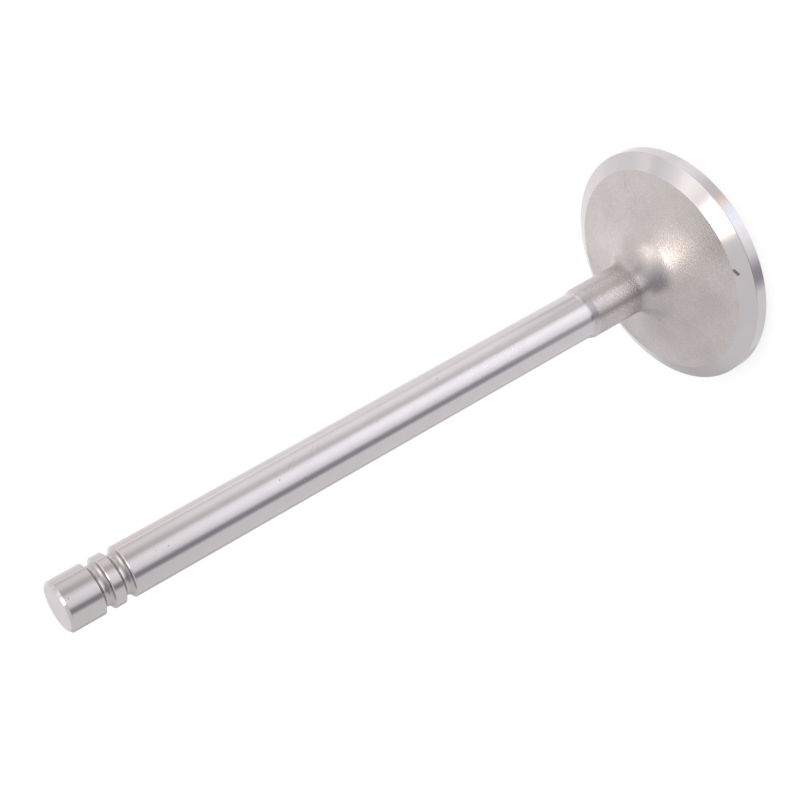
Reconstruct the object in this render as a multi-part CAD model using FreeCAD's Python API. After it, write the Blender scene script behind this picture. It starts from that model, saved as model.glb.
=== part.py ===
import FreeCAD, Part
import math
import os

# Engine valve, one piece, in millimetres.
# It stands on its head: the combustion face lies at z = 0 and the stem rises along +Z.

# Overall
overall_length = 118.0

# Head
head_diameter = 40.6
face_edge_break = 0.2
margin_thickness = 2.2
seat_width = 2.6
seat_angle = 30.0
underside_radius = 38.0

# Neck between the head and the ground stem
fillet_radius = 6.0
fillet_start_slope = 24.0
neck_diameter = 8.7
neck_length = 8.95
neck_bevel_length = 1.2

# Ground stem and its tip
stem_diameter = 7.96
tip_chamfer_length = 0.4
tip_chamfer_depth = 0.3

# Keeper grooves, round in section, counted from the tip
groove_count = 2
tip_to_first_groove = 6.2
groove_pitch = 3.25
groove_width = 1.7
groove_depth = 0.8

NODE = "valve"


def point(radius, height):
    """A point of the half section, which lies in the XZ plane."""
    return FreeCAD.Vector(radius, 0, height)


def line(start, end):
    return Part.LineSegment(start, end).toShape()


def arc(start, middle, end):
    return Part.Arc(start, middle, end).toShape()


def head_outline():
    """From the middle of the combustion face, round the rim, to the inner edge of the seat."""
    head_radius = head_diameter / 2
    seat_rise = seat_width * math.tan(math.radians(seat_angle))
    centre = point(0, 0)
    face_edge = point(head_radius - face_edge_break, 0)
    margin_low = point(head_radius, face_edge_break)
    margin_high = point(head_radius, margin_thickness)
    seat_inner = point(head_radius - seat_width, margin_thickness + seat_rise)
    edges = [
        line(centre, face_edge),
        line(face_edge, margin_low),
        line(margin_low, margin_high),
        line(margin_high, seat_inner),
    ]
    return edges, seat_inner


def on_hollow(centre, radius, slope):
    """The point of a hollow curve, an arc about a centre above it, where the curve has this slope."""
    return point(centre.x - radius * math.sin(slope), centre.z - radius * math.cos(slope))


def neck_outline(seat_inner):
    """From the seat up the hollow underside, through the tangent fillet, to the ground stem."""
    steep = math.radians(fillet_start_slope)
    neck_radius = neck_diameter / 2
    start_radius = neck_radius + fillet_radius * (1 - math.sin(steep))
    hollow_centre_radius = start_radius + underside_radius * math.sin(steep)
    gentle = math.asin((hollow_centre_radius - seat_inner.x) / underside_radius)
    hollow_centre = point(hollow_centre_radius, seat_inner.z + underside_radius * math.cos(gentle))
    fillet_start = on_hollow(hollow_centre, underside_radius, steep)
    fillet_centre = point(neck_radius + fillet_radius, fillet_start.z + fillet_radius * math.cos(steep))
    hollow_middle = on_hollow(hollow_centre, underside_radius, (gentle + steep) / 2)
    fillet_middle = on_hollow(fillet_centre, fillet_radius, (steep + math.pi / 2) / 2)
    neck_low = point(neck_radius, fillet_centre.z)
    neck_high = point(neck_radius, fillet_centre.z + neck_length)
    stem_low = point(stem_diameter / 2, neck_high.z + neck_bevel_length)
    edges = [
        arc(seat_inner, hollow_middle, fillet_start),
        arc(fillet_start, fillet_middle, neck_low),
        line(neck_low, neck_high),
        line(neck_high, stem_low),
    ]
    return edges, stem_low


def stem_outline(stem_low):
    """Up the ground stem, through the keeper grooves, to the middle of the tip."""
    stem_radius = stem_diameter / 2
    edges = []
    here = stem_low
    for number in reversed(range(groove_count)):
        middle_height = overall_length - tip_to_first_groove - number * groove_pitch
        low = point(stem_radius, middle_height - groove_width / 2)
        bottom = point(stem_radius - groove_depth, middle_height)
        high = point(stem_radius, middle_height + groove_width / 2)
        edges.append(line(here, low))
        edges.append(arc(low, bottom, high))
        here = high
    chamfer_low = point(stem_radius, overall_length - tip_chamfer_length)
    chamfer_high = point(stem_radius - tip_chamfer_depth, overall_length)
    tip_centre = point(0, overall_length)
    edges.append(line(here, chamfer_low))
    edges.append(line(chamfer_low, chamfer_high))
    edges.append(line(chamfer_high, tip_centre))
    return edges, tip_centre


def valve():
    """The half section turned once about the stem's axis."""
    head_edges, seat_inner = head_outline()
    neck_edges, stem_low = neck_outline(seat_inner)
    stem_edges, tip_centre = stem_outline(stem_low)
    axis_edge = line(tip_centre, point(0, 0))
    section = Part.Face(Part.Wire(head_edges + neck_edges + stem_edges + [axis_edge]))
    return section.revolve(FreeCAD.Vector(0, 0, 0), FreeCAD.Vector(0, 0, 1), 360)


os.makedirs("parts", exist_ok=True)
shape = valve()
shape.exportStep(f"parts/{NODE}.step")
print(NODE, "valid", shape.isValid(), "volume mm3", round(shape.Volume, 1), "height mm", shape.BoundBox.ZLength)
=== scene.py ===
import math
from collections import namedtuple

import bpy
import numpy as np
from mathutils import Matrix, Vector


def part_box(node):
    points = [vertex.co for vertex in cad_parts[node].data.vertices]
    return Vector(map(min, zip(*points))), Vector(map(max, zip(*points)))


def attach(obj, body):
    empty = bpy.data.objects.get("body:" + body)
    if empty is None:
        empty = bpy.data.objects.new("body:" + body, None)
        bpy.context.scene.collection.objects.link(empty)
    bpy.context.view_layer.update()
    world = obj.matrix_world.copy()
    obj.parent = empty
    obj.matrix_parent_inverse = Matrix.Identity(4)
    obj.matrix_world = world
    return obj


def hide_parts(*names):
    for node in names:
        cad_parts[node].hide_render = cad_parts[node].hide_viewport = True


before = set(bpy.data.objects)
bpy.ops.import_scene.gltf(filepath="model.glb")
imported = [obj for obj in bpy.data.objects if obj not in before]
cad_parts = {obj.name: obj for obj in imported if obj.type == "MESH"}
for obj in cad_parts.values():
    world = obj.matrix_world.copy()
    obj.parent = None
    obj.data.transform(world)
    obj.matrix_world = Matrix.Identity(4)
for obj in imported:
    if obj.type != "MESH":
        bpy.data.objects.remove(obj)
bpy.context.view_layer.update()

# The valve stands on its head: combustion face at z = 0, stem along +Z.
# Sizes are in millimetres and become metres when a mesh, material or camera is made.
MM = 0.001
AXIS = Vector((0.0, 0.0, 1.0))

high_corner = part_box("valve")[1]
overall_length = high_corner.z / MM
head_radius = high_corner.x / MM

# Head
face_edge_break = 0.2
margin_thickness = 2.2
seat_width = 2.6
seat_angle = 30.0
underside_radius = 38.0

# Neck between the head and the ground stem
fillet_radius = 6.0
fillet_start_slope = 24.0
neck_radius = 4.35
neck_length = 8.95
neck_bevel_length = 1.2

# Ground stem and its tip
stem_radius = 3.98
tip_chamfer_length = 0.38
tip_chamfer_depth = 0.42

# Keeper grooves, round in section, counted from the tip
groove_count = 2
tip_to_first_groove = 6.2
groove_pitch = 3.25
groove_width = 1.7
groove_depth = 0.8

# Worn edges, each a small round
face_edge_round = 0.05
rim_edge_round = 0.12
seat_inner_round = 0.15
neck_edge_round = 0.15
stem_edge_round = 2.0
groove_edge_round = 0.09
tip_edge_round = 0.05
tip_face_round = 0.10

# Fine bevel along the lower lip of each groove, and the elevation that it faces
groove_lip_depth = 0.14
groove_lip_facing = 49.0

# Mesh density: faces round the axis, steps along each arc and rows along each straight run
segments = 448
edge_steps = 4
underside_steps = 20
fillet_steps = 24
groove_steps = 14
face_rows = 12
margin_rows = 3
seat_rows = 16
neck_rows = 8
band_rows = 2
land_rows = 2
tip_rows = 6

# A guard ring lies this near each end of a straight run and keeps its shading flat
guard_width = 0.02

# Finishes, in the order of the mesh's material slots
FINISHES = (
    "turned_face",
    "ground_margin",
    "ground_seat",
    "blasted_neck",
    "satin_band",
    "ground_stem",
    "turned_groove",
    "ground_tip",
)

# Camera, from the photograph's perspective
camera_place = Vector((0.0, -230.24, 173.48))
camera_yaw = 0.515
camera_pitch = -26.781
camera_roll = -119.123
camera_lens = 76.67
sensor_width = 36.0
nearest_seen = 10.0


# A corner of the half section: its point, its round, and the finish and rows of the run after it
Corner = namedtuple("Corner", "point round finish rows", defaults=(1,))


def angle_from(centre, point):
    """The direction of a point as seen from an arc's centre, in degrees."""
    return math.degrees(math.atan2(point[1] - centre[1], point[0] - centre[0]))


class Outline:
    """The half section as (radius, height, finish), where a finish holds up to the next point."""

    def __init__(self):
        self.points = []

    def add(self, radius, height, finish):
        self.points.append((radius, height, finish))

    def run(self, start, end, finish, rows=1):
        """A straight stretch, with a guard ring near each end and without its last point."""
        length = math.dist(start, end)
        guard = min(guard_width, length / 3) / length
        for share in (0.0, *np.linspace(guard, 1 - guard, rows + 1)):
            radius = start[0] + (end[0] - start[0]) * share
            height = start[1] + (end[1] - start[1]) * share
            self.add(radius, height, finish)

    def sweep(self, centre, radius, first_angle, last_angle, finish, steps):
        """An arc about a centre without its last point. Returns that last point."""
        for angle in np.radians(np.linspace(first_angle, last_angle, steps + 1)):
            self.add(centre[0] + radius * math.cos(angle), centre[1] + radius * math.sin(angle), finish)
        end = self.points.pop()
        return end[:2]

    def path(self, corners):
        """Straight runs from corner to corner, with the rounds between them."""
        here = corners[0].point
        for before, at, after in zip(corners, corners[1:], corners[2:] + [None]):
            if after is None or at.round == 0:
                self.run(here, at.point, before.finish, before.rows)
                here = at.point
            else:
                here = self.round_corner(here, before, at, after)

    def round_corner(self, here, before, at, after):
        """The run up to a corner, and the corner's round. Returns where the round ends."""
        corner = Vector(at.point)
        back = (Vector(before.point) - corner).normalized()
        ahead = (Vector(after.point) - corner).normalized()
        half = back.angle(ahead) / 2
        reach = at.round / math.tan(half)
        centre = corner + (back + ahead).normalized() * (at.round / math.sin(half))
        first = corner + back * reach
        last = corner + ahead * reach
        self.run(here, tuple(first), before.finish, before.rows)
        first_angle = angle_from(centre, first)
        turn = (angle_from(centre, last) - first_angle + 180) % 360 - 180
        self.sweep(centre, at.round, first_angle, first_angle + turn, at.finish, edge_steps)
        return tuple(last)


def key_points():
    """The corners and arc centres of the half section, worked out from the sizes above."""
    steep = math.radians(fillet_start_slope)
    seat_inner_radius = head_radius - seat_width
    seat_inner_height = margin_thickness + seat_width * math.tan(math.radians(seat_angle))
    fillet_start_radius = neck_radius + fillet_radius * (1 - math.sin(steep))
    hollow_centre_radius = fillet_start_radius + underside_radius * math.sin(steep)
    gentle = math.asin((hollow_centre_radius - seat_inner_radius) / underside_radius)
    hollow_centre_height = seat_inner_height + underside_radius * math.cos(gentle)
    fillet_centre_height = hollow_centre_height - (underside_radius - fillet_radius) * math.cos(steep)
    neck_top = fillet_centre_height + neck_length
    return {
        "face_centre": (0.0, 0.0),
        "face_edge": (head_radius - face_edge_break, 0.0),
        "margin_low": (head_radius, face_edge_break),
        "margin_high": (head_radius, margin_thickness),
        "seat_inner": (seat_inner_radius, seat_inner_height),
        "hollow_centre": (hollow_centre_radius, hollow_centre_height),
        "fillet_centre": (neck_radius + fillet_radius, fillet_centre_height),
        "neck_low": (neck_radius, fillet_centre_height),
        "neck_top": (neck_radius, neck_top),
        "stem_low": (stem_radius, neck_top + neck_bevel_length),
        "stem_start": (stem_radius, neck_top + neck_bevel_length + stem_edge_round / 2),
        "chamfer_low": (stem_radius, overall_length - tip_chamfer_length),
        "chamfer_high": (stem_radius - tip_chamfer_depth, overall_length),
        "tip_centre": (0.0, overall_length),
    }


def add_groove(outline, here, middle_height):
    """The land up to a groove, its bevelled lip, the round groove and its worn upper edge."""
    half_width = groove_width / 2
    radius = (half_width**2 + groove_depth**2) / (2 * groove_depth)
    centre = (stem_radius - groove_depth + radius, middle_height)
    lip_radius = stem_radius - groove_lip_depth
    lip = (lip_radius, middle_height - math.sqrt(radius**2 - (centre[0] - lip_radius) ** 2))
    lip_rise = groove_lip_depth / math.tan(math.radians(groove_lip_facing))
    land_end = (stem_radius, lip[1] - lip_rise)
    edge_centre_radius = stem_radius - groove_edge_round
    span = radius + groove_edge_round
    edge_turn = math.acos((centre[0] - edge_centre_radius) / span)
    turn = math.degrees(edge_turn)
    high = (edge_centre_radius, middle_height + span * math.sin(edge_turn))
    outline.run(here, land_end, "ground_stem", land_rows)
    outline.run(land_end, lip, "ground_stem")
    outline.sweep(centre, radius, angle_from(centre, lip) % 360, 180 - turn, "turned_groove", groove_steps)
    return outline.sweep(high, groove_edge_round, -turn, 0, "ground_stem", edge_steps)


def on_hollow(centre, radius):
    """The point of the head's hollow underside at a radius from the axis."""
    return (radius, centre[1] - math.sqrt(underside_radius**2 - (centre[0] - radius) ** 2))


def valve_outline():
    """From the middle of the combustion face, round the rim, up the stem, to the middle of the tip."""
    at = key_points()
    hollow_centre = at["hollow_centre"]
    hollow_start = on_hollow(hollow_centre, at["seat_inner"][0] - seat_inner_round / 2)
    first_angle = angle_from(hollow_centre, hollow_start) % 360
    last_angle = 270 - fillet_start_slope
    outline = Outline()
    outline.path([
        Corner(at["face_centre"], 0, "turned_face", face_rows),
        Corner(at["face_edge"], face_edge_round, "turned_face"),
        Corner(at["margin_low"], face_edge_round, "ground_margin", margin_rows),
        Corner(at["margin_high"], rim_edge_round, "ground_seat", seat_rows),
        Corner(at["seat_inner"], seat_inner_round, "blasted_neck"),
        Corner(hollow_start, 0, "blasted_neck"),
    ])
    outline.sweep(hollow_centre, underside_radius, first_angle, last_angle, "blasted_neck", underside_steps)
    outline.sweep(at["fillet_centre"], fillet_radius, last_angle, 180, "blasted_neck", fillet_steps)
    outline.path([
        Corner(at["neck_low"], 0, "blasted_neck", neck_rows),
        Corner(at["neck_top"], neck_edge_round, "satin_band", band_rows),
        Corner(at["stem_low"], stem_edge_round, "ground_stem"),
        Corner(at["stem_start"], 0, "ground_stem"),
    ])
    here = at["stem_start"]
    for number in reversed(range(groove_count)):
        here = add_groove(outline, here, overall_length - tip_to_first_groove - number * groove_pitch)
    outline.path([
        Corner(here, 0, "ground_stem", land_rows),
        Corner(at["chamfer_low"], tip_edge_round, "ground_stem"),
        Corner(at["chamfer_high"], tip_face_round, "ground_tip", tip_rows),
        Corner(at["tip_centre"], 0, "ground_tip"),
    ])
    outline.add(*at["tip_centre"], "ground_tip")
    return outline.points


def lathe_corners(points):
    """The mesh's corners: a ring for each point but the first and the last, which are poles."""
    inner = points[1:-1]
    turns = np.linspace(0, 2 * math.pi, segments, endpoint=False)
    radii = np.array([p[0] for p in inner])
    heights = np.array([p[1] for p in inner])
    rings = np.empty((len(inner), segments, 3))
    rings[..., 0] = radii[:, None] * np.cos(turns)
    rings[..., 1] = radii[:, None] * np.sin(turns)
    rings[..., 2] = heights[:, None]
    corners = [tuple(p) for p in rings.reshape(-1, 3) * MM]
    corners.append((0.0, 0.0, points[0][1] * MM))
    corners.append((0.0, 0.0, points[-1][1] * MM))
    return corners


def lathe_faces(points):
    """The mesh's faces, and the material slot of each."""
    inner = points[1:-1]
    first_pole = len(inner) * segments
    last_pole = first_pole + 1
    last_ring = first_pole - segments
    faces = []
    slots = []
    for j in range(segments):
        k = (j + 1) % segments
        faces.append((first_pole, k, j))
        slots.append(FINISHES.index(points[0][2]))
        faces.append((last_pole, last_ring + j, last_ring + k))
        slots.append(FINISHES.index(inner[-1][2]))
    for i in range(len(inner) - 1):
        low = i * segments
        high = low + segments
        slot = FINISHES.index(inner[i][2])
        for j in range(segments):
            k = (j + 1) % segments
            faces.append((low + j, low + k, high + k, high + j))
            slots.append(slot)
    return faces, slots


def lathe(name, points, materials):
    """The outline turned once about Z, as one closed mesh."""
    faces, slots = lathe_faces(points)
    mesh = bpy.data.meshes.new(name)
    mesh.from_pydata(lathe_corners(points), [], faces)
    for finish in FINISHES:
        mesh.materials.append(materials[finish])
    mesh.polygons.foreach_set("material_index", slots)
    mesh.polygons.foreach_set("use_smooth", [True] * len(faces))
    mesh.update()
    piece = bpy.data.objects.new(name, mesh)
    bpy.context.scene.collection.objects.link(piece)
    return piece


def colour(red, green, blue):
    return (red, green, blue, 1.0)


def spot(radius, angle, height):
    """A point in millimetres from its radius, its angle from +X in degrees, and its height."""
    turn = math.radians(angle)
    return Vector((radius * math.cos(turn), radius * math.sin(turn), height))


def on_stem(angle, height):
    return spot(stem_radius, angle, height)


# Small nicks, specks and scratches, each from one spot to another, with its width and its strength
MARKS = {
    "ground_seat": [
        (spot(17.92, 250.8, 3.57), spot(18.34, 248.6, 3.33), 0.56, 0.9),
        (spot(17.66, 252.0, 3.72), spot(17.82, 251.2, 3.63), 0.16, 0.6),
    ],
    "blasted_neck": [
        (spot(15.39, 35.4, 4.28), spot(15.41, 35.9, 4.28), 0.22, 0.9),
        (spot(14.29, 112.7, 4.43), spot(14.29, 113.0, 4.43), 0.18, 0.7),
        (spot(7.69, 160.3, 6.67), spot(7.71, 161.0, 6.67), 0.20, 0.9),
        (spot(15.50, 344.3, 4.24), spot(15.70, 344.7, 4.20), 0.45, 0.35),
    ],
    "ground_stem": [
        (on_stem(275.8, 82.29), on_stem(276.3, 82.35), 0.16, 0.6),
        (on_stem(250.6, 78.80), on_stem(254.0, 78.72), 0.20, 0.7),
        (on_stem(328.3, 34.83), on_stem(329.0, 34.90), 0.18, 0.8),
        (on_stem(273.2, 39.63), on_stem(273.6, 39.63), 0.14, 0.5),
        (on_stem(302.2, 51.84), on_stem(303.5, 51.60), 0.16, 0.4),
        (on_stem(282.5, 64.15), on_stem(283.2, 64.15), 0.16, 0.4),
        (on_stem(289.6, 80.19), on_stem(302.9, 78.27), 0.14, 0.16),
        (on_stem(297.8, 75.60), on_stem(306.2, 74.87), 0.12, 0.20),
        (on_stem(296.5, 74.70), on_stem(303.0, 74.10), 0.12, 0.16),
        (on_stem(275.3, 117.04), on_stem(276.0, 117.10), 0.16, 0.8),
        (on_stem(331.9, 107.60), on_stem(332.5, 107.60), 0.16, 0.8),
        (on_stem(269.9, 101.42), on_stem(270.5, 101.42), 0.18, 0.6),
        (on_stem(274.5, 103.30), on_stem(275.0, 103.30), 0.12, 0.6),
    ],
}
mark_colour = (0.24, 0.165, 0.14)
mark_depth = 0.02
mark_roughness = 0.3

# A mark fades from its core to its rim, both as shares of its half width, and its edge is ragged
mark_core = 0.6
mark_rim = 1.2
ragged_reach = 0.35

# Noise, each as its cells per millimetre, its octaves and the strength of the finer octaves
ragged_noise = (9.0, 2.0, 0.5)
cloud_noise = (0.35, 3.0, 0.55)
speck_noise = (4.0, 2.0, 0.6)
blast_noise = (0.16, 3.0, 0.55)

# The fine lines have noise of this kind, with one cell to each line
line_noise = (1.0, 3.0, 0.6)

# Colours of the steel: ground or turned, darker and browner near the tip, painted shade in the grooves, and
# blasted
steel_colour = (0.695, 0.668, 0.672)
tip_end_colour = (0.665, 0.628, 0.615)
# Darker colour of the grooves: painted shade in the recesses
groove_painted_shade = (0.60, 0.56, 0.55)
blast_colour = (0.598, 0.554, 0.540)

# The noise at which the roughness and the clouds reach each of their ends, and the clouds' shade
roughness_span = (0.7, 1.3)
cloud_span = (0.3, 0.7)
cloud_shade = 0.96

# The stretch of the metal's highlights is turned by this share of a full turn
highlight_turn = 0.25

# Blasted finishes: dimples in cells per millimetre, their share of the mottle, and its two shades
dimple_scale = 4.4
dimple_share = 0.18
blast_light = (1.08, 1.08, 1.08)
blast_dark = (0.91, 0.905, 0.90)

# The neck is blasted less than the underside of the head, more and more so between two heights
neck_stretch = (7.0, 16.0)
neck_gloss = -0.05

# The stem's darker, browner and slightly rougher tip end, which comes in between two heights
tip_end_stretch = (86.0, 104.0)
tip_end_strength = 0.75
tip_end_roughness = 0.02

# Worn patch of the stem, which also holds the painted glints: its heights, the angle that it faces,
# the cosines off that angle at which it starts and is complete, and the depth of its specks
wear_and_glint_stretch = (33.0, 38.0, 45.0, 52.0)
wear_and_glint_angle = 272.0
wear_and_glint_edge = (0.92, 0.98)
worn_speck_depth = 0.012

# Painted glints: a lighter colour on the highest specks of the worn patch stands in for sparkle
painted_glint_colour = (0.92, 0.91, 0.93)
painted_glint_span = (0.60, 0.68)
painted_glint_strength = 0.8

MACHINED = {
    "turned_face": dict(
        base=steel_colour, rough=(0.20, 0.28), anisotropy=0.5,
        line_along="radius", line_pitch=0.10, line_depth=0.006, line_change=2.0, speck_depth=0.001,
    ),
    "ground_margin": dict(
        base=steel_colour, rough=(0.06, 0.10), anisotropy=0.3,
        line_along="height", line_pitch=0.15, line_depth=0.0006, line_change=3.0, speck_depth=0.001,
    ),
    "ground_seat": dict(
        base=steel_colour, rough=(0.12, 0.19), anisotropy=0.5,
        line_along="radius", line_pitch=0.10, line_depth=0.0014, line_change=6.0, speck_depth=0.002,
    ),
    "ground_stem": dict(
        base=steel_colour, rough=(0.06, 0.11), anisotropy=0.3,
        line_along="height", line_pitch=0.12, line_depth=0.0008, line_change=3.0, speck_depth=0.003,
    ),
    # The grooves' darker base colour is painted shade in the recesses
    "turned_groove": dict(
        base=groove_painted_shade, rough=(0.16, 0.26), anisotropy=0.2,
        line_along="height", line_pitch=0.10, line_depth=0.003, line_change=2.0, speck_depth=0.012,
    ),
    "ground_tip": dict(
        base=steel_colour, rough=(0.22, 0.32), anisotropy=0.2,
        line_along="radius", line_pitch=0.15, line_depth=0.003, line_change=2.0, speck_depth=0.004,
    ),
}
BLASTED = {
    "blasted_neck": dict(base=blast_colour, rough=(0.22, 0.34), dimple_depth=0.014, metallic=0.88),
    "satin_band": dict(base=steel_colour, rough=(0.28, 0.36), dimple_depth=0.004, metallic=0.95),
}


class Shader:
    """Short forms for building a material or world from nodes."""

    def __init__(self, owner):
        owner.use_nodes = True
        self.tree = owner.node_tree
        self.tree.nodes.clear()

    def node(self, kind, inputs=(), output=0, **settings):
        """Adds a node, sets or links its inputs by name or number, and returns one of its outputs."""
        made = self.tree.nodes.new(kind)
        for key, value in settings.items():
            setattr(made, key, value)
        for key, value in dict(inputs).items():
            if isinstance(value, bpy.types.NodeSocket):
                self.tree.links.new(value, made.inputs[key])
            else:
                made.inputs[key].default_value = value
        return made.outputs[output] if made.outputs else made

    def math(self, operation, *values):
        return self.node("ShaderNodeMath", dict(enumerate(values)), operation=operation)

    def vector(self, operation, *values, output=0):
        return self.node("ShaderNodeVectorMath", dict(enumerate(values)), output=output, operation=operation)

    def noise(self, place, scale, octaves, finer):
        inputs = {"Vector": place, "Scale": scale, "Detail": octaves, "Roughness": finer}
        return self.node("ShaderNodeTexNoise", inputs)

    def remap(self, value, low, high, new_low=0.0, new_high=1.0, smooth=False):
        inputs = {0: value, 1: low, 2: high, 3: new_low, 4: new_high}
        kind = "SMOOTHSTEP" if smooth else "LINEAR"
        return self.node("ShaderNodeMapRange", inputs, interpolation_type=kind)

    def band(self, value, edges):
        """1 between the two inner edges, and 0 beyond the two outer ones."""
        rise = self.remap(value, edges[0], edges[1], smooth=True)
        fall = self.remap(value, edges[2], edges[3], 1.0, 0.0, smooth=True)
        return self.math("MULTIPLY", rise, fall)

    def mix_colour(self, share, first, second):
        """Two colours mixed. For colours the node has them as inputs 6 and 7, and gives output 2."""
        inputs = {0: share, 6: first, 7: second}
        return self.node("ShaderNodeMix", inputs, output=2, data_type="RGBA")

    def scaled(self, vector, factor):
        return self.node("ShaderNodeVectorMath", {0: vector, "Scale": factor}, operation="SCALE")

    def dot(self, vector, axis):
        return self.vector("DOT_PRODUCT", vector, tuple(axis), output="Value")

    def length(self, vector):
        return self.vector("LENGTH", vector, output="Value")

    def place_mm(self):
        """The point on the valve, in millimetres."""
        return self.scaled(self.node("ShaderNodeTexCoord", output="Object"), 1 / MM)

    def marks(self, place, strokes):
        """1 on a few small marks, each a ragged stroke between two points, and 0 elsewhere."""
        ragged = self.remap(self.noise(place, *ragged_noise), 0.0, 1.0, -ragged_reach, ragged_reach)
        total = 0.0
        for first, last, width, strength in strokes:
            along = last - first
            offset = self.vector("SUBTRACT", place, tuple(first))
            reached = self.math("DIVIDE", self.dot(offset, along), along.length_squared)
            reached.node.use_clamp = True
            across = self.vector("SUBTRACT", offset, self.scaled(tuple(along), reached))
            distance = self.math("DIVIDE", self.length(across), width / 2)
            edge = self.math("ADD", distance, ragged)
            stroke = self.remap(edge, mark_core, mark_rim, strength, 0.0, smooth=True)
            total = self.math("MAXIMUM", stroke, total)
        return total

    def metal(self, tint, roughness, height, others):
        """The metal itself, with its height in millimetres as a bump."""
        bump = self.node("ShaderNodeBump", {"Height": height, "Distance": MM, "Strength": 1.0})
        inputs = {"Base Color": tint, "Roughness": roughness, "Normal": bump, **others}
        surface = self.node("ShaderNodeBsdfPrincipled", inputs)
        self.node("ShaderNodeOutputMaterial", {"Surface": surface})


def fine_lines(s, place, flat, line_along, line_pitch, line_change):
    """Lines round the axis, where line_along, height or radius, is the way from line to line."""
    across = s.dot(place, AXIS) if line_along == "height" else s.length(flat)
    lift = s.node("ShaderNodeCombineXYZ", {"Z": s.math("DIVIDE", across, line_pitch)})
    turned = s.scaled(s.vector("NORMALIZE", flat), line_change)
    return s.noise(s.vector("ADD", turned, lift), *line_noise)


def stem_tone_wear_and_glints(s, place, flat, specks, tint, roughness, speck_depth):
    """The stem's darker tip end, worn patch and painted glints. Returns the last three values with them in.
    """
    along = s.dot(place, AXIS)
    facing = s.dot(s.vector("NORMALIZE", flat), spot(1.0, wear_and_glint_angle, 0.0))
    wear_and_glint_patch = s.math("MULTIPLY", s.band(along, wear_and_glint_stretch), s.remap(facing, *wear_and_glint_edge, smooth=True))
    speck_depth = s.remap(wear_and_glint_patch, 0.0, 1.0, speck_depth, worn_speck_depth)
    # Darker, browner and a little rougher towards the tip
    toward_tip_end = s.remap(along, *tip_end_stretch, 0.0, tip_end_strength, smooth=True)
    tint = s.mix_colour(toward_tip_end, tint, colour(*tip_end_colour))
    # Painted glints: a lighter colour on the highest specks of the worn patch
    painted_glints = s.math("MULTIPLY", wear_and_glint_patch, s.remap(specks, *painted_glint_span, 0.0, painted_glint_strength, smooth=True))
    tint = s.mix_colour(painted_glints, tint, colour(*painted_glint_colour))
    roughness = s.math("ADD", roughness, s.math("MULTIPLY", toward_tip_end, tip_end_roughness))
    return tint, roughness, speck_depth


def machined_steel(name, base, rough, anisotropy, line_depth, speck_depth, **line_course):
    """Steel with fine lines round the axis, left by grinding or turning."""
    material = bpy.data.materials.new(name)
    s = Shader(material)
    place = s.place_mm()
    flat = s.vector("MULTIPLY", place, (1.0, 1.0, 0.0))
    lines = fine_lines(s, place, flat, **line_course)
    clouds = s.noise(place, *cloud_noise)
    specks = s.noise(place, *speck_noise)
    roughness = s.remap(s.math("ADD", lines, clouds), *roughness_span, *rough)
    darker = colour(*(c * cloud_shade for c in base))
    tint = s.mix_colour(s.remap(clouds, *cloud_span), colour(*base), darker)
    if name == "ground_stem":
        tint, roughness, speck_depth = stem_tone_wear_and_glints(s, place, flat, specks, tint, roughness, speck_depth)
    height = s.math("ADD", s.math("MULTIPLY", lines, line_depth), s.math("MULTIPLY", specks, speck_depth))
    if name in MARKS:
        marks = s.marks(place, MARKS[name])
        tint = s.mix_colour(marks, tint, colour(*mark_colour))
        height = s.math("SUBTRACT", height, s.math("MULTIPLY", marks, mark_depth))
        roughness = s.math("ADD", roughness, s.math("MULTIPLY", marks, mark_roughness))
    s.metal(tint, roughness, height, {
        "Metallic": 1.0,
        "Anisotropic": anisotropy,
        "Anisotropic Rotation": highlight_turn,
        "Tangent": s.node("ShaderNodeTangent", direction_type="RADIAL", axis="Z"),
    })
    return material


def blasted_steel(name, base, rough, dimple_depth, metallic):
    """Satin steel with the fine grain of bead blasting."""
    material = bpy.data.materials.new(name)
    s = Shader(material)
    place = s.place_mm()
    dimples = s.node("ShaderNodeTexVoronoi", {"Vector": place, "Scale": dimple_scale}, output="Distance")
    speckle = s.dot(dimples.node.outputs["Color"], (1, 0, 0))
    clouds = s.math("MULTIPLY", s.noise(place, *blast_noise), 1 - dimple_share)
    mottle = s.math("ADD", clouds, s.math("MULTIPLY", speckle, dimple_share))
    light = colour(*(c * shade for c, shade in zip(base, blast_light)))
    dark = colour(*(c * shade for c, shade in zip(base, blast_dark)))
    tint = s.mix_colour(s.remap(mottle, *cloud_span), light, dark)
    if name in MARKS:
        tint = s.mix_colour(s.marks(place, MARKS[name]), tint, colour(*mark_colour))
    on_neck = s.remap(s.dot(place, AXIS), *neck_stretch, smooth=True)
    gloss = s.math("MULTIPLY", on_neck, neck_gloss)
    roughness = s.math("ADD", s.remap(speckle, 0.0, 1.0, *rough), gloss)
    s.metal(tint, roughness, s.math("MULTIPLY", dimples, dimple_depth), {"Metallic": metallic})
    return material


def make_materials():
    """One material for each finish."""
    materials = {}
    for name in FINISHES:
        if name in BLASTED:
            materials[name] = blasted_steel(name, **BLASTED[name])
        else:
            materials[name] = machined_steel(name, **MACHINED[name])
    return materials


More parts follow.
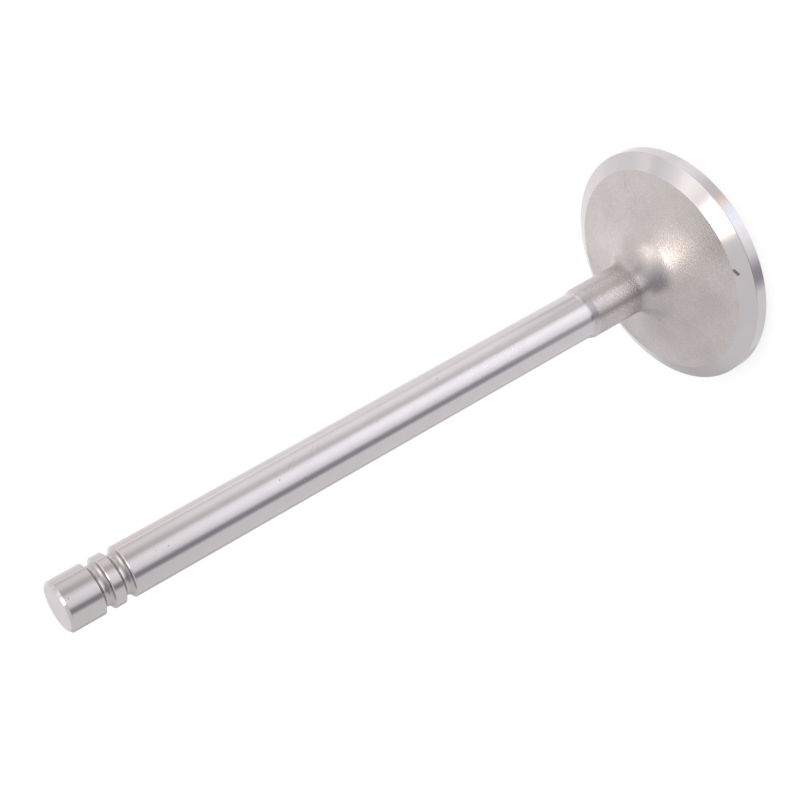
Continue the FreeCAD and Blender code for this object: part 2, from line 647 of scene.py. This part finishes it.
# Studio: long upright panels and flags round the valve, on a plain pale surround.
# Azimuths and elevations are in degrees, each edge from where it starts to where it is complete.
# A panel leans by its azimuth shift per degree of elevation, and adds its glow to the surround.
Panel = namedtuple("Panel", "azimuth elevation glow lean", defaults=(0.0,))
lean_elevation = -26.0
PANELS = {
    "dark_flag": Panel((-65, -48, -42, -22), (-91, -90, -6, 8), (-0.46, -0.46, -0.43), lean=0.375),
    "left_edge": Panel((-176, -165, -146, -127), (-91, -90, 0, 30), (-0.22, -0.22, -0.22)),
    "low_panel": Panel((-80, -45, 6, 34), (-91, -90, -50, -41), (0.80, 0.78, 0.78)),
    "low_gap": Panel((42, 56, 92, 112), (-91, -90, -50, -41), (-0.45, -0.45, -0.45)),
    "fillet_gap": Panel((4, 26, 100, 122), (-20, -12, 8, 20), (-0.15, -0.15, -0.15)),
    "far_wall": Panel((138, 152, 172, 180), (-40, -20, 38, 60), (0.12, 0.12, 0.11)),
    "camera_side": Panel((-80, -56, -34, 28), (-6, 8, 44, 69), (-0.45, -0.45, -0.43)),
    "warm_top": Panel((94, 108, 130, 150), (60, 67, 76, 82), (0.60, 0.53, 0.47)),
    "neck_gap": Panel((46, 60, 92, 112), (-38, -36, -33, -30.5), (-0.24, -0.24, -0.24)),
    "neck_glow": Panel((-66, -46, -28, -6), (-38, -36, -33, -30.5), (0.12, 0.12, 0.12)),
    "warm_side": Panel((86, 102, 150, 172), (-91, -90, 10, 30), (0.02, -0.01, -0.005)),
    "cool_panel": Panel((-36, 4, 10, 36), (-91, -90, -30, 2), (0.45, 0.46, 0.52)),
    "brown_gap": Panel((24, 38, 44, 63), (-91, -90, -6, 20), (-0.17, -0.20, -0.22)),
    "right_panel": Panel((58, 72, 78, 90), (-91, -90, 0, 30), (0.08, 0.08, 0.08)),
    "right_gap": Panel((84, 92, 96, 104), (-91, -90, 0, 30), (-0.05, -0.05, -0.05)),
    "thin_panel": Panel((101, 106, 107, 112), (-30, -18, 10, 40), (0.26, 0.235, 0.22), lean=-0.3),
    "warm_wall": Panel((22, 62, 82, 108), (22, 43, 56, 74), (0.90, 0.80, 0.71)),
    "far_streak": Panel((117, 121, 123, 127), (30, 38, 42, 50), (0.14, 0.11, 0.09)),
    "far_gap": Panel((110, 114, 116, 120), (33, 42, 48, 56), (-0.08, -0.09, -0.09)),
    "orange_glint": Panel((20, 27, 30, 37), (-50, -42, -38, -35), (0.10, -0.06, -0.16)),
    "blue_glint": Panel((2, 8, 12, 20), (-50, -42, -38, -35), (-0.10, -0.02, 0.08)),
    "left_ceiling": Panel((-200, -190, -60, -30), (58, 72, 91, 92), (0.02, 0.01, 0.005)),
}

# The surround grows lighter towards its light side, and is a little lighter low down
light_side_azimuth = 110.0
light_side_span = (-0.4, 0.5)
surround_left = 0.79
surround_right = 0.94
low_span = (-0.6, -0.2)
low_level = 1.05
high_level = 0.95
surround_tint = (1.0, 0.99, 1.012)

# Softbox above the valve: its edges as sideways and frontal distance, both for a height of 1
softbox_sideways = (-0.07, 0.04, 0.18, 0.345)
softbox_frontal = (-0.18, -0.09, 0.10, 0.35)
softbox_glow = (3.0, 2.75, 2.45)
softbox_least_height = 0.01


def compass(azimuth, elevation):
    """A direction as seen from the valve: azimuth 0 is the camera's side, 90 is +X."""
    a = math.radians(azimuth)
    e = math.radians(elevation)
    return Vector((math.sin(a) * math.cos(e), -math.cos(a) * math.cos(e), math.sin(e)))


def surround_light(s, direction, rise):
    side = s.dot(direction, compass(light_side_azimuth, 0))
    level = s.remap(side, *light_side_span, surround_left, surround_right, smooth=True)
    level = s.math("MULTIPLY", level, s.remap(rise, *low_span, low_level, high_level, smooth=True))
    return s.scaled(surround_tint, level)


def panel_light(s, azimuth, elevation, panel):
    offset = s.math("MULTIPLY", s.math("SUBTRACT", elevation, lean_elevation), panel.lean)
    across = s.band(s.math("SUBTRACT", azimuth, offset), panel.azimuth)
    share = s.math("MULTIPLY", across, s.band(elevation, panel.elevation))
    return s.scaled(panel.glow, share)


def softbox_light(s, right, front, rise):
    height = s.math("MAXIMUM", rise, softbox_least_height)
    sideways = s.band(s.math("DIVIDE", right, height), softbox_sideways)
    frontal = s.band(s.math("DIVIDE", front, height), softbox_frontal)
    return s.scaled(softbox_glow, s.math("MULTIPLY", sideways, frontal))


def make_world():
    """White to the camera, and a soft studio to everything else."""
    world = bpy.data.worlds.new("studio")
    bpy.context.scene.world = world
    s = Shader(world)
    direction = s.node("ShaderNodeTexCoord", output="Generated")
    right = s.dot(direction, (1, 0, 0))
    front = s.dot(direction, (0, -1, 0))
    rise = s.dot(direction, AXIS)
    azimuth = s.math("MULTIPLY", s.math("ARCTAN2", right, front), math.degrees(1))
    elevation = s.math("MULTIPLY", s.math("ARCSINE", rise), math.degrees(1))
    total = surround_light(s, direction, rise)
    for panel in PANELS.values():
        total = s.vector("ADD", total, panel_light(s, azimuth, elevation, panel))
    total = s.vector("ADD", total, softbox_light(s, right, front, rise))
    camera_ray = s.node("ShaderNodeLightPath", output="Is Camera Ray")
    seen = s.mix_colour(camera_ray, total, colour(1.0, 1.0, 1.0))
    background = s.node("ShaderNodeBackground", {"Color": seen, "Strength": 1.0})
    s.node("ShaderNodeOutputWorld", {"Surface": background})


floor_radius = 500.0
floor_sides = 96
floor_glow = 0.71
floor_albedo = 0.36


def make_floor():
    """A pale floor. It holds the valve's soft shadow, and is white where nothing shades it."""
    mesh = bpy.data.meshes.new("floor")
    turns = np.linspace(0, 2 * math.pi, floor_sides, endpoint=False)
    corners = [(floor_radius * MM * math.cos(a), floor_radius * MM * math.sin(a), 0.0) for a in turns]
    mesh.from_pydata(corners, [], [tuple(range(len(corners)))])
    floor = bpy.data.objects.new("floor", mesh)
    bpy.context.scene.collection.objects.link(floor)
    floor.visible_glossy = False
    material = bpy.data.materials.new("pale_floor")
    mesh.materials.append(material)
    s = Shader(material)
    shade = s.node("ShaderNodeBsdfDiffuse", {"Color": colour(floor_albedo, floor_albedo, floor_albedo)})
    camera_ray = s.node("ShaderNodeLightPath", output="Is Camera Ray")
    glow = s.node("ShaderNodeEmission", {"Strength": s.math("MULTIPLY", camera_ray, floor_glow)})
    both = s.node("ShaderNodeAddShader", {0: shade, 1: glow})
    s.node("ShaderNodeOutputMaterial", {"Surface": both})


def make_camera():
    """The photograph's camera, turned by its yaw, its pitch and its roll."""
    lens = bpy.data.cameras.new("camera")
    lens.lens = camera_lens
    lens.sensor_width = sensor_width
    lens.clip_start = nearest_seen * MM
    camera = bpy.data.objects.new("camera", lens)
    pitch = math.radians(camera_pitch)
    yaw = math.radians(camera_yaw)
    ahead = Vector((math.sin(yaw) * math.cos(pitch), math.cos(yaw) * math.cos(pitch), math.sin(pitch)))
    level = ahead.cross(AXIS).normalized()
    upright = level.cross(ahead)
    roll = math.radians(camera_roll)
    right = level * math.cos(roll) + upright * math.sin(roll)
    up = right.cross(ahead)
    turn = Matrix((right, up, -ahead)).transposed().to_4x4()
    camera.matrix_world = Matrix.Translation(camera_place * MM) @ turn
    bpy.context.scene.collection.objects.link(camera)
    bpy.context.scene.camera = camera


make_camera()
valve = lathe("valve_body", valve_outline(), make_materials())
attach(valve, "root")
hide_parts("valve")
make_floor()
make_world()

bpy.context.scene.view_settings.view_transform = "Standard"
